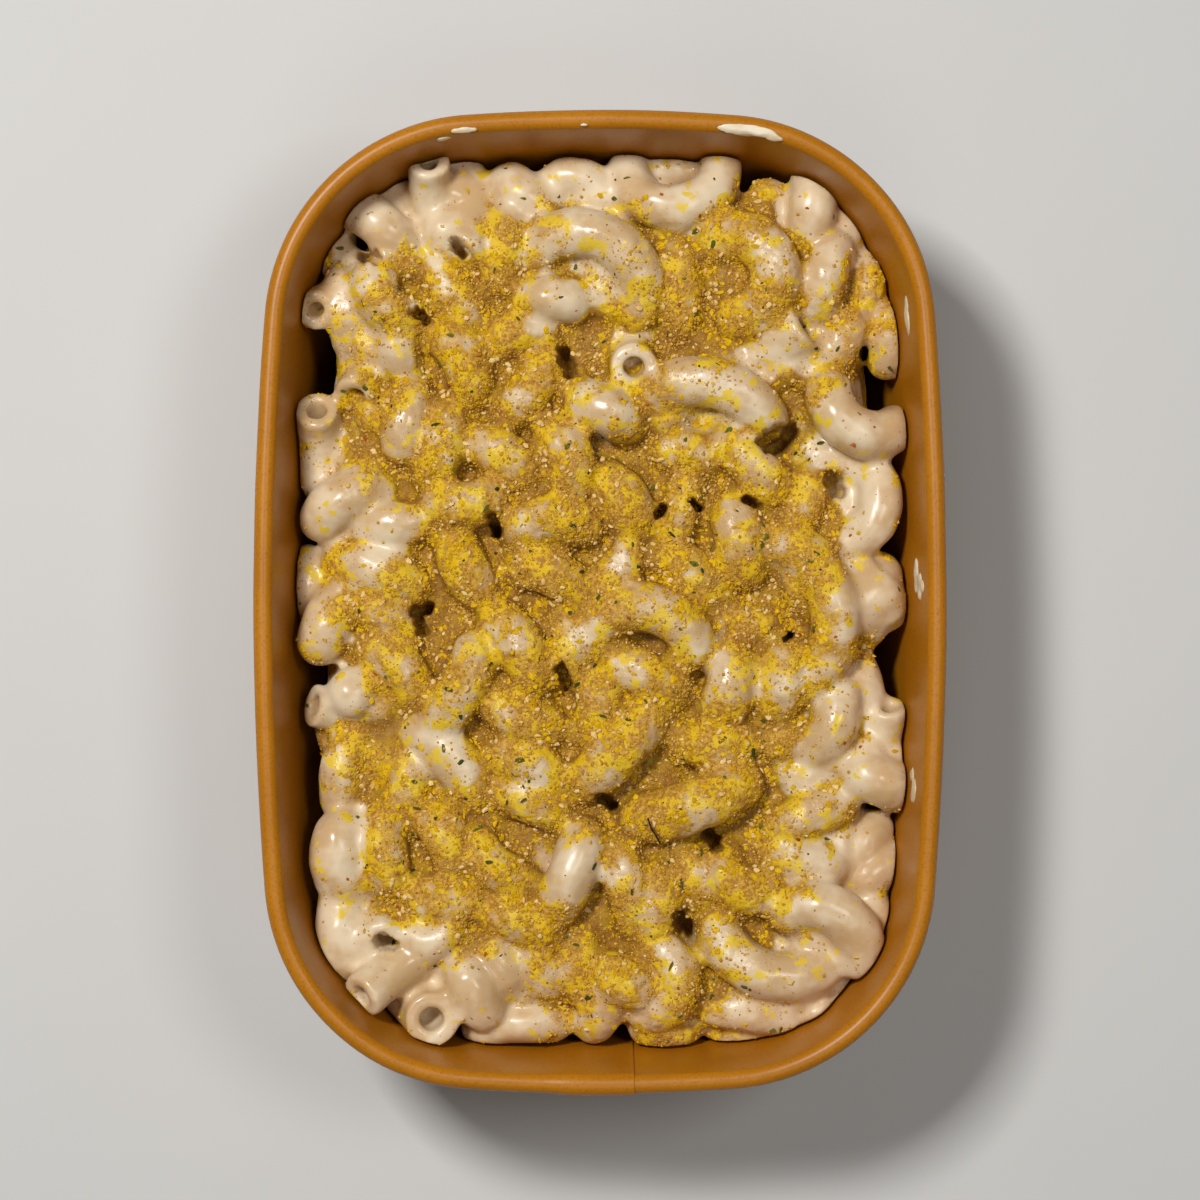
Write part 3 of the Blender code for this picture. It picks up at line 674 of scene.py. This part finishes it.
def macaroni_heap():
    """The pieces, bed and sauce as one skin, with pits, a flat foot and how crumbs lie on it."""
    bm = bmesh.new()
    for x, y, z, radius in SAUCE:
        bmesh.ops.create_icosphere(
            bm, subdivisions=3, radius=radius * MM, matrix=Matrix.Translation(Vector((x, y, z)) * MM))
    chance = np.random.default_rng(LIE_SEED)
    pieces = bed_pieces()
    for start, middle, end, thickness, ends in MACARONI:
        # Pieces that don't reach the crown lie a little lower, each by its own amount.
        lie = chance.uniform(0, LIE_SPREAD) if middle[2] < CROWN else 0
        sinks = [lie + END_SINK * (kind == "r") for kind in ends]
        pieces.append((stretched(start, sinks[0]), stretched(middle, lie), stretched(end, sinks[1]),
                       thickness, ends))
    for part in (bed_core(), *[macaroni_piece(*piece) for piece in pieces]):
        bm.from_mesh(part)
        bpy.data.meshes.remove(part)
    mesh = one_skin(mesh_from(bm, "macaroni_heap"), SKIN_VOXEL)
    # The sauce: the skin goes out, closes over the narrow gaps, and comes back in.
    set_points(mesh, points_of(mesh) + normals_of(mesh) * SAUCE_FILLET)
    mesh = one_skin(mesh, SKIN_VOXEL)
    set_points(mesh, points_of(mesh) - normals_of(mesh) * SAUCE_FILLET)
    mesh = one_skin(mesh, SKIN_VOXEL)
    mesh = with_modifier(mesh, "SMOOTH", factor=0.5, iterations=2)

    points, normals = points_of(mesh), normals_of(mesh)
    coat = noise_at(points, 4.5 * MM) * 0.32 * MM + noise_at(points, 2.0 * MM, 4.0) * 0.08 * MM
    crumbed = cover(points[:, 0], points[:, 1]) * smooth_step(normals[:, 2], 0.1, 0.6)
    grain = noise_at(points, 1.25 * MM, 9.0) * 0.30 * MM
    points += normals * (coat + grain * crumbed)[:, None]
    near_top = smooth_step(points[:, 2], *PIT_FADE)
    ragged = 1.25 + 0.75 * noise_at(points * (1, 1, 0), PIT_EDGE, 21.0)
    for x, y, to_x, to_y, radius in PITS:
        along = np.array((to_x - x, to_y - y))
        from_start = points[:, :2] / MM - (x, y)
        share = np.clip(from_start @ along / (along @ along), 0, 1)
        away = np.linalg.norm(from_start - share[:, None] * along, axis=1) / radius / ragged
        points[:, 2] -= near_top * PIT_DEPTH * (1 - smooth_step(away, 0.5, 1.15))
    points[:, 2] = np.maximum(points[:, 2], CUT_HEIGHT + PIT_FLOOR * near_top)
    set_points(mesh, keep_in_the_tub(points))

    bm = bmesh.new()
    bm.from_mesh(mesh)
    bpy.data.meshes.remove(mesh)
    everything = bm.verts[:] + bm.edges[:] + bm.faces[:]
    bmesh.ops.bisect_plane(bm, geom=everything, plane_co=(0, 0, CUT_HEIGHT), plane_no=(0, 0, 1),
                           clear_inner=True)
    rim = [e for e in bm.edges if e.is_boundary]
    foot = bmesh.ops.extrude_edge_only(bm, edges=rim)["geom"]
    taper = (CUT_HEIGHT - HEAP_FLOOR) * math.tan(WALL_SLOPE)
    for vert in [v for v in foot if isinstance(v, bmesh.types.BMVert)]:
        flat = Vector((vert.co.x, vert.co.y))
        flat -= flat.normalized() * taper * FOOT_TAPER
        vert.co = (flat.x, flat.y, HEAP_FLOOR)
    bmesh.ops.edgeloop_fill(bm, edges=[e for e in bm.edges if e.is_boundary])
    bmesh.ops.recalc_face_normals(bm, faces=bm.faces)
    bmesh.ops.triangulate(bm, faces=bm.faces)
    count = len(bm.faces)
    mesh = mesh_from(bm, "macaroni")
    if count > FINAL_TRIANGLES:
        mesh = with_modifier(mesh, "DECIMATE", ratio=FINAL_TRIANGLES / count)
    mesh.name = "macaroni"
    points, normals = points_of(mesh), normals_of(mesh)
    crumbed = patchy_cover(points) * smooth_step(normals[:, 2], -0.3, 0.3)
    put_attribute(mesh, "topping", crumbed)
    # The hollow attribute also drives the painted shade on the crumbs in the creases.
    put_attribute(mesh, "hollow", hollows(points))
    mesh.shade_smooth()
    return link("macaroni", mesh)


# ---- The loose topping ----
def grain_shape(faces, flatten, chance):
    """A small irregular grain of eight or twenty faces, about one unit in radius."""
    bm = bmesh.new()
    if faces == 8:
        bmesh.ops.create_uvsphere(bm, u_segments=4, v_segments=2, radius=1)
    else:
        bmesh.ops.create_icosphere(bm, subdivisions=1, radius=1)
    for vert in bm.verts:
        vert.co *= 1 + chance.uniform(-GRAIN_ROUGHNESS, GRAIN_ROUGHNESS)
        vert.co.z *= flatten
    points = np.array([v.co for v in bm.verts])
    faces = np.array([[v.index for v in f.verts] for f in bm.faces])
    bm.free()
    return points, faces


def scatter(name, base, weights, count, faces, size, stretch, flatten, sink, seed):
    """Grains lying on the heap's faces, as often as the weights say, joined in one mesh.

    faces is how many a grain has; size is the smallest and largest radius; stretch is the longest
    over the widest; flatten is the height over the width; sink is how far the middle of a grain is
    above the surface, as a share of its size.
    """
    chance = np.random.default_rng(seed)
    shapes = [grain_shape(faces, flatten, chance) for _ in range(GRAIN_SHAPES)]
    corners = base["corners"]
    picks = chance.choice(len(corners), size=count, p=weights / weights.sum())
    u, v = chance.random(count), chance.random(count)
    over = u + v > 1
    u[over], v[over] = 1 - u[over], 1 - v[over]
    a, b, c = (corners[picks, k] for k in range(3))
    place = a + u[:, None] * (b - a) + v[:, None] * (c - a)
    up = base["normals"][picks]
    radius = size[0] + (size[1] - size[0]) * chance.random(count) ** 2.2
    spin = chance.uniform(0, math.tau, count)
    side = np.cross(up, np.array((0.31, 0.87, 0.38)))
    side /= np.linalg.norm(side, axis=1)[:, None]
    other = np.cross(up, side)
    first = side * np.cos(spin)[:, None] + other * np.sin(spin)[:, None]
    up_leant = up + chance.normal(0, GRAIN_LEAN, (count, 3))
    up_leant /= np.linalg.norm(up_leant, axis=1)[:, None]
    second = np.cross(up_leant, first)
    second /= np.linalg.norm(second, axis=1)[:, None]
    first = np.cross(second, up_leant)
    place = place + up * (radius * sink)[:, None]
    long = chance.uniform(1, stretch, count)
    tones = chance.random(count)
    all_points, all_faces, all_tones, seen = [], [], [], 0
    for number, (points, faces) in enumerate(shapes):
        mine = np.arange(number, count, len(shapes))
        local = points[None] * radius[mine, None, None]
        made = (place[mine, None]
                + local[..., 0:1] * (first[mine] * long[mine, None])[:, None]
                + local[..., 1:2] * second[mine, None]
                + local[..., 2:3] * up_leant[mine, None])
        all_points.append(made.reshape(-1, 3))
        starts = seen + len(points) * np.arange(len(mine))
        all_faces.append((faces[None] + starts[:, None, None]).reshape(-1, 3))
        all_tones.append(np.repeat(tones[mine], len(points)))
        seen += len(points) * len(mine)
    mesh = bpy.data.meshes.new(name)
    points = keep_in_the_tub(np.concatenate(all_points))
    mesh.from_pydata(points.tolist(), [], np.concatenate(all_faces).tolist())
    put_attribute(mesh, "tone", np.concatenate(all_tones))
    return link(name, mesh)


def faces_of(obj):
    """The corners, normals, areas, middles and crumb cover of an object's triangles."""
    mesh = obj.data
    mesh.calc_loop_triangles()
    index = np.empty(len(mesh.loop_triangles) * 3, np.int32)
    mesh.loop_triangles.foreach_get("vertices", index)
    corners = points_of(mesh)[index.reshape(-1, 3)].astype(float)
    across = np.cross(corners[:, 1] - corners[:, 0], corners[:, 2] - corners[:, 0])
    twice = np.linalg.norm(across, axis=1)
    normals = across / np.maximum(twice, 1e-12)[:, None]
    topping = np.empty(len(mesh.vertices), np.float32)
    mesh.attributes["topping"].data.foreach_get("value", topping)
    return {"corners": corners, "normals": normals, "area": twice / 2, "middle": corners.mean(axis=1),
            "topping": topping[index.reshape(-1, 3)].mean(axis=1)}


# ---- Sauce smeared on the board ----
def sauce_smears():
    """Flat dabs of sauce on the rim and the wall's inner face, run together where they touch."""
    bm = bmesh.new()
    line = rim_line()
    for x, y, height, long, wide, thick in SMEARS:
        nearest, out = min(line, key=lambda pn: (pn[0] - Vector((x, y)) * MM).length)
        out = Vector((*out, 0))
        tangent = Vector((-out.y, out.x, 0))
        z = height * MM
        if z > ROLL_CENTRE.y:
            # On the roll, round its crown.
            rise = math.asin((z - ROLL_CENTRE.y) / ROLL_RADIUS)
            face = out * -math.cos(rise) + Vector((0, 0, math.sin(rise)))
            edge = -ROLL_RADIUS - (ROLL_RADIUS - LAP_STEP) * math.cos(rise)
        else:
            face = (out * INTO_THE_TUB.x + Vector((0, 0, INTO_THE_TUB.y))).normalized()
            edge = wall_inner_face(z) + LAP_STEP
        place = Vector((*nearest, z)) + out * edge
        across = face.cross(tangent)
        turn = Matrix((tangent * long * MM, across * wide * MM, face * thick * MM)).transposed().to_4x4()
        turn.translation = place
        bmesh.ops.create_icosphere(bm, subdivisions=3, radius=1, matrix=turn)
    mesh = one_skin(mesh_from(bm, "sauce_smears"), SMEAR_VOXEL)
    mesh = with_modifier(mesh, "SMOOTH", factor=0.5, iterations=4)
    points, normals = points_of(mesh), normals_of(mesh)
    points += normals * (noise_at(points, 1.8 * MM) * 0.16 * MM)[:, None]
    points[:, 2] = np.minimum(points[:, 2], SMEAR_TOP)
    set_points(mesh, points)
    mesh.name = "sauce_smears"
    mesh.shade_smooth()
    return link("sauce_smears", mesh)


def twig():
    """A dry stalk lying on the crumbs."""
    curve = bpy.data.curves.new("herb_stalk", "CURVE")
    curve.dimensions = "3D"
    curve.bevel_depth = STALK_RADIUS
    curve.bevel_resolution = 1
    curve.use_fill_caps = True
    spline = curve.splines.new("POLY")
    spline.points.add(len(STALK) - 1)
    for slot, point in zip(spline.points, STALK):
        slot.co = (*[v * MM for v in point], 1)
    obj = link("work", curve)
    mesh = bpy.data.meshes.new_from_object(obj.evaluated_get(bpy.context.evaluated_depsgraph_get()))
    bpy.data.objects.remove(obj)
    mesh.name = "herb_stalk"
    bm = bmesh.new()
    bm.from_mesh(mesh)
    bmesh.ops.remove_doubles(bm, verts=bm.verts, dist=0.01 * MM)
    bm.to_mesh(mesh)
    bm.free()
    return link("herb_stalk", mesh)


# ---- Finishes ----
def add_node(tree, kind, values=None, links=None, **settings):
    """Adds a node with its settings, its sockets' values and what its sockets are fed from."""
    node = tree.nodes.new(kind)
    for setting, value in settings.items():
        setattr(node, setting, value)
    for socket, value in (values or {}).items():
        node.inputs[socket].default_value = value
    for socket, source in (links or {}).items():
        tree.links.new(source, node.inputs[socket])
    return node


def new_finish(name):
    """A material of that name, its node tree and its shader."""
    made = bpy.data.materials.new(name)
    made.use_nodes = True
    tree = made.node_tree
    return made, tree, tree.nodes["Principled BSDF"]


def blend_colours(tree, factor, first, second):
    """A mix of two colours, each a hex value or a socket."""
    mix = add_node(tree, "ShaderNodeMix", data_type="RGBA")
    tree.links.new(factor, mix.inputs["Factor"])
    for socket, colour in ((6, first), (7, second)):
        if isinstance(colour, str):
            mix.inputs[socket].default_value = linear(colour)
        else:
            tree.links.new(colour, mix.inputs[socket])
    return mix.outputs[2]


def steps_between(tree, value, low, high):
    """A soft step from 0 at the low value to 1 at the high one."""
    ramp = add_node(tree, "ShaderNodeMapRange", {"From Min": low, "From Max": high},
                    {"Value": value}, interpolation_type="SMOOTHSTEP")
    return ramp.outputs["Result"]


def spots(tree, place, size, detail=2.0, rough=0.5):
    """Noise whose bumps have the given size."""
    made = add_node(tree, "ShaderNodeTexNoise", {"Scale": 1 / size, "Detail": detail, "Roughness": rough},
                    {"Vector": place})
    return made.outputs["Fac"]


def kraft_board():
    """Kraft paper board with a thin clear coat: brown fibres, soft cloudy tone and a satin gloss."""
    made, tree, shader = new_finish("coated_kraft_board")
    place = add_node(tree, "ShaderNodeTexCoord").outputs["Object"]
    along = add_node(tree, "ShaderNodeMapping", {"Scale": (1, 1, 0.55)}, {"Vector": place}).outputs[0]
    clouds = spots(tree, place, 14 * MM, 3)
    fibres = spots(tree, along, 0.45 * MM, 3, 0.6)
    colour = blend_colours(tree, steps_between(tree, clouds, 0.3, 0.7), "AC6C0C", "B6740E")
    colour = blend_colours(tree, steps_between(tree, fibres, 0.45, 0.8), colour, "9A5E08")
    tree.links.new(colour, shader.inputs["Base Color"])
    rough = add_node(tree, "ShaderNodeMapRange", {"To Min": 0.32, "To Max": 0.42}, {"Value": clouds})
    tree.links.new(rough.outputs[0], shader.inputs["Roughness"])
    bump = add_node(tree, "ShaderNodeBump", {"Strength": 0.12, "Distance": 0.05 * MM}, {"Height": fibres})
    tree.links.new(bump.outputs[0], shader.inputs["Normal"])
    shader.inputs["Specular IOR Level"].default_value = 0.3
    return made


def sauced_macaroni():
    """Cooked pasta under white cheese sauce: creamy and wet, tan where thin, golden under the crumbs, with
    painted shade darkening the crumbs in the creases.
    """
    made, tree, shader = new_finish("cheese_sauce_on_pasta")
    place = add_node(tree, "ShaderNodeTexCoord").outputs["Object"]
    topping = add_node(tree, "ShaderNodeAttribute", attribute_name="topping").outputs["Fac"]
    thick = spots(tree, place, 9 * MM, 3, 0.55)
    sauce = blend_colours(tree, steps_between(tree, thick, 0.36, 0.66), "C6A578", "DECAA8")
    specks = spots(tree, place, 0.9 * MM, 1)
    sauce = blend_colours(tree, steps_between(tree, specks, 0.73, 0.78), sauce, "A97F45")
    yellow = spots(tree, place, 3.4 * MM, 3, 0.6)
    near = add_node(tree, "ShaderNodeMath", {1: 0.35}, {0: topping}, operation="MULTIPLY").outputs[0]
    stain = add_node(tree, "ShaderNodeMath", links={0: yellow, 1: near}, operation="ADD").outputs[0]
    sauce = blend_colours(tree, steps_between(tree, stain, 0.62, 0.68), sauce, "DCBC3C")
    fine = spots(tree, place, 0.75 * MM, 2, 0.6)
    crumbs = blend_colours(tree, steps_between(tree, fine, 0.36, 0.64), "9E6A0C", "CC9C34")
    crumbs = blend_colours(tree, steps_between(tree, yellow, 0.52, 0.56), crumbs, "D8AE00")
    # Painted shade: in the creases the crumbs darken towards deep brown, where shade falls.
    hollow = add_node(tree, "ShaderNodeAttribute", attribute_name="hollow").outputs["Fac"]
    crease_shade = add_node(tree, "ShaderNodeMapRange", {"From Min": 0.55, "To Max": 0.7}, {"Value": hollow})
    crumbs = blend_colours(tree, crease_shade.outputs[0], crumbs, "7C5000")
    edge = add_node(tree, "ShaderNodeMath", {1: 0.5}, {0: fine}, operation="MULTIPLY").outputs[0]
    ragged = add_node(tree, "ShaderNodeMath", links={0: topping, 1: edge}, operation="ADD").outputs[0]
    share = steps_between(tree, ragged, 0.35, 1.0)
    tree.links.new(blend_colours(tree, share, sauce, crumbs), shader.inputs["Base Color"])
    wet = add_node(tree, "ShaderNodeMapRange", {"From Min": 0.3, "From Max": 0.7, "To Min": 0.2,
                                                "To Max": 0.38}, {"Value": thick}).outputs[0]
    gloss = add_node(tree, "ShaderNodeMix", {3: 0.75}, {"Factor": share, 2: wet})
    tree.links.new(gloss.outputs[0], shader.inputs["Roughness"])
    height = add_node(tree, "ShaderNodeMath", links={0: fine, 1: share}, operation="MULTIPLY").outputs[0]
    bump = add_node(tree, "ShaderNodeBump", {"Strength": 0.6, "Distance": 0.35 * MM}, {"Height": height})
    tree.links.new(bump.outputs[0], shader.inputs["Normal"])
    shader.inputs["Subsurface Weight"].default_value = 0.15
    shader.inputs["Subsurface Scale"].default_value = 2 * MM
    shader.inputs["Subsurface Radius"].default_value = (1, 0.6, 0.35)
    return made


def dry_finish(name, dark, light, rough):
    """A dry crumb or herb, each grain with its own tone."""
    made, tree, shader = new_finish(name)
    tone = add_node(tree, "ShaderNodeAttribute", attribute_name="tone").outputs["Fac"]
    place = add_node(tree, "ShaderNodeTexCoord").outputs["Object"]
    speck = spots(tree, place, 0.4 * MM, 1)
    colour = blend_colours(tree, tone, dark, light)
    colour = blend_colours(tree, steps_between(tree, speck, 0.45, 0.8), colour, dark)
    tree.links.new(colour, shader.inputs["Base Color"])
    shader.inputs["Roughness"].default_value = rough
    shader.inputs["Specular IOR Level"].default_value = 0.2
    return made


def wet_sauce():
    """The same cheese sauce with no pasta under it."""
    made, tree, shader = new_finish("cheese_sauce")
    place = add_node(tree, "ShaderNodeTexCoord").outputs["Object"]
    thick = spots(tree, place, 5 * MM, 2)
    colour = blend_colours(tree, steps_between(tree, thick, 0.35, 0.65), "DAC4A0", "E6D6BA")
    tree.links.new(colour, shader.inputs["Base Color"])
    rough = add_node(tree, "ShaderNodeMapRange", {"To Min": 0.2, "To Max": 0.4}, {"Value": thick})
    tree.links.new(rough.outputs[0], shader.inputs["Roughness"])
    shader.inputs["Subsurface Weight"].default_value = 0.15
    shader.inputs["Subsurface Scale"].default_value = 2 * MM
    return made


def plain_floor():
    """A matt painted board, pale and even."""
    made, tree, shader = new_finish("pale_floor")
    place = add_node(tree, "ShaderNodeTexCoord").outputs["Object"]
    colour = blend_colours(tree, spots(tree, place, 60 * MM), "CCCAC6", "D0CECA")
    tree.links.new(colour, shader.inputs["Base Color"])
    shader.inputs["Roughness"].default_value = 0.8
    return made


def finish_with(obj, finish):
    """The object, with that material alone."""
    obj.data.materials.clear()
    obj.data.materials.append(finish)
    return obj


# ---- The whole ----
kraft = kraft_board()
wall = finish_with(paper_wall(), kraft)
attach(wall, "root")
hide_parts("tub_wall")
finish_with(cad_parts["tub_base"], kraft)

heap = finish_with(macaroni_heap(), sauced_macaroni())
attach(heap, "root")
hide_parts("macaroni_heap")

base = faces_of(heap)
level = smooth_step(base["normals"][:, 2], 0.12, 0.75) * (base["middle"][:, 2] > 32 * MM)
covered = base["topping"]
clump = np.clip(0.6 + 0.9 * noise_at(base["middle"], 4.5 * MM, 3.0), 0.05, 1.5)
streak = np.clip(0.1 + 2.0 * noise_at(base["middle"], 3.4 * MM, 8.0), 0.01, 1.5)
strewn = base["area"] * level * (0.002 + covered**1.5)
fallen = base["area"] * level * (0.25 + covered)
TOPPINGS = (
    # name, slot, dark, light, weights, count,
    # faces, radii in mm, stretch, flatten, sink, seed
    ("tan_crumbs", "crumb_topping", "B08028", "D8AE50", strewn * clump, 20000,
     8, (0.12, 0.38), 1.5, 0.85, 0.25, 21),
    ("golden_crumbs", "crumb_topping", "B07E14", "CE9E1A", strewn, 14000,
     8, (0.1, 0.3), 1.5, 0.85, 0.2, 22),
    ("yellow_crumbs", "crumb_topping", "BE9000", "E0B608", strewn * streak, 7000,
     20, (0.15, 0.55), 1.8, 0.35, 0.05, 23),
    ("pale_crumbs", "crumb_topping", "D4AC62", "E8CC8C", strewn * clump, 1300,
     20, (0.22, 0.55), 1.6, 0.75, 0.3, 24),
    ("herb_flecks", "herb_flecks", "34360C", "6C6A1C", fallen, 420,
     20, (0.15, 0.5), 2.6, 0.22, 0.2, 25),
    ("red_flecks", "crumb_topping", "8A4210", "B86414", fallen, 190,
     20, (0.15, 0.42), 1.6, 0.5, 0.2, 26),
)
for name, slot, dark, light, weights, count, faces, sizes, stretch, flatten, sink, seed in TOPPINGS:
    sizes = [size * MM for size in sizes]
    grains = scatter(name, base, weights, count, faces, sizes, stretch, flatten, sink, seed)
    finish_with(grains, dry_finish(name + "_dry", dark, light, 0.8))
    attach(grains, "root")

for made, finish, slot in (
    (sauce_smears(), wet_sauce(), "macaroni"),
    (twig(), dry_finish("dry_stalk", "2A1C0C", "3A2812", 0.8), "herb_flecks"),
):
    finish_with(made, finish)
    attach(made, "root")

# ---- Floor, lights and camera ----
floor_shape = bmesh.new()
bmesh.ops.create_grid(floor_shape, x_segments=1, y_segments=1, size=1.5)
floor = finish_with(link("floor", mesh_from(floor_shape, "floor")), plain_floor())
floor.data.transform(Matrix.Translation((0, 0, -0.1 * MM)))

for name, place, power, size in (
    ("key_light", (-0.27, 0.26, 0.79), 5.9, 0.14),
    ("fill_light", (0.28, 0.10, 0.84), 1.4, 0.20),
    ("front_light", (0.02, -0.34, 0.89), 0.75, 0.30),
):
    lamp = bpy.data.lights.new(name, "AREA")
    lamp.energy = power
    lamp.size = size
    holder = link(name, lamp)
    holder.location = place
    holder.rotation_euler = Vector(place).to_track_quat("Z", "Y").to_euler()

world = bpy.data.worlds.new("soft_room")
bpy.context.scene.world = world
world.use_nodes = True
world.node_tree.nodes["Background"].inputs["Color"].default_value = (1, 1, 1, 1)
world.node_tree.nodes["Background"].inputs["Strength"].default_value = 0.065

CAMERA_ABOVE_RIM = 650 * MM
FRAME_WIDTH = 208.1 * MM
camera = bpy.data.cameras.new("camera")
camera.sensor_width = 36
camera.lens = camera.sensor_width * CAMERA_ABOVE_RIM / FRAME_WIDTH
viewer = link("camera", camera)
viewer.location = (0, 0.33 * MM, TUB_HEIGHT + CAMERA_ABOVE_RIM)
bpy.context.scene.camera = viewer
bpy.context.scene.view_settings.view_transform = "Standard"
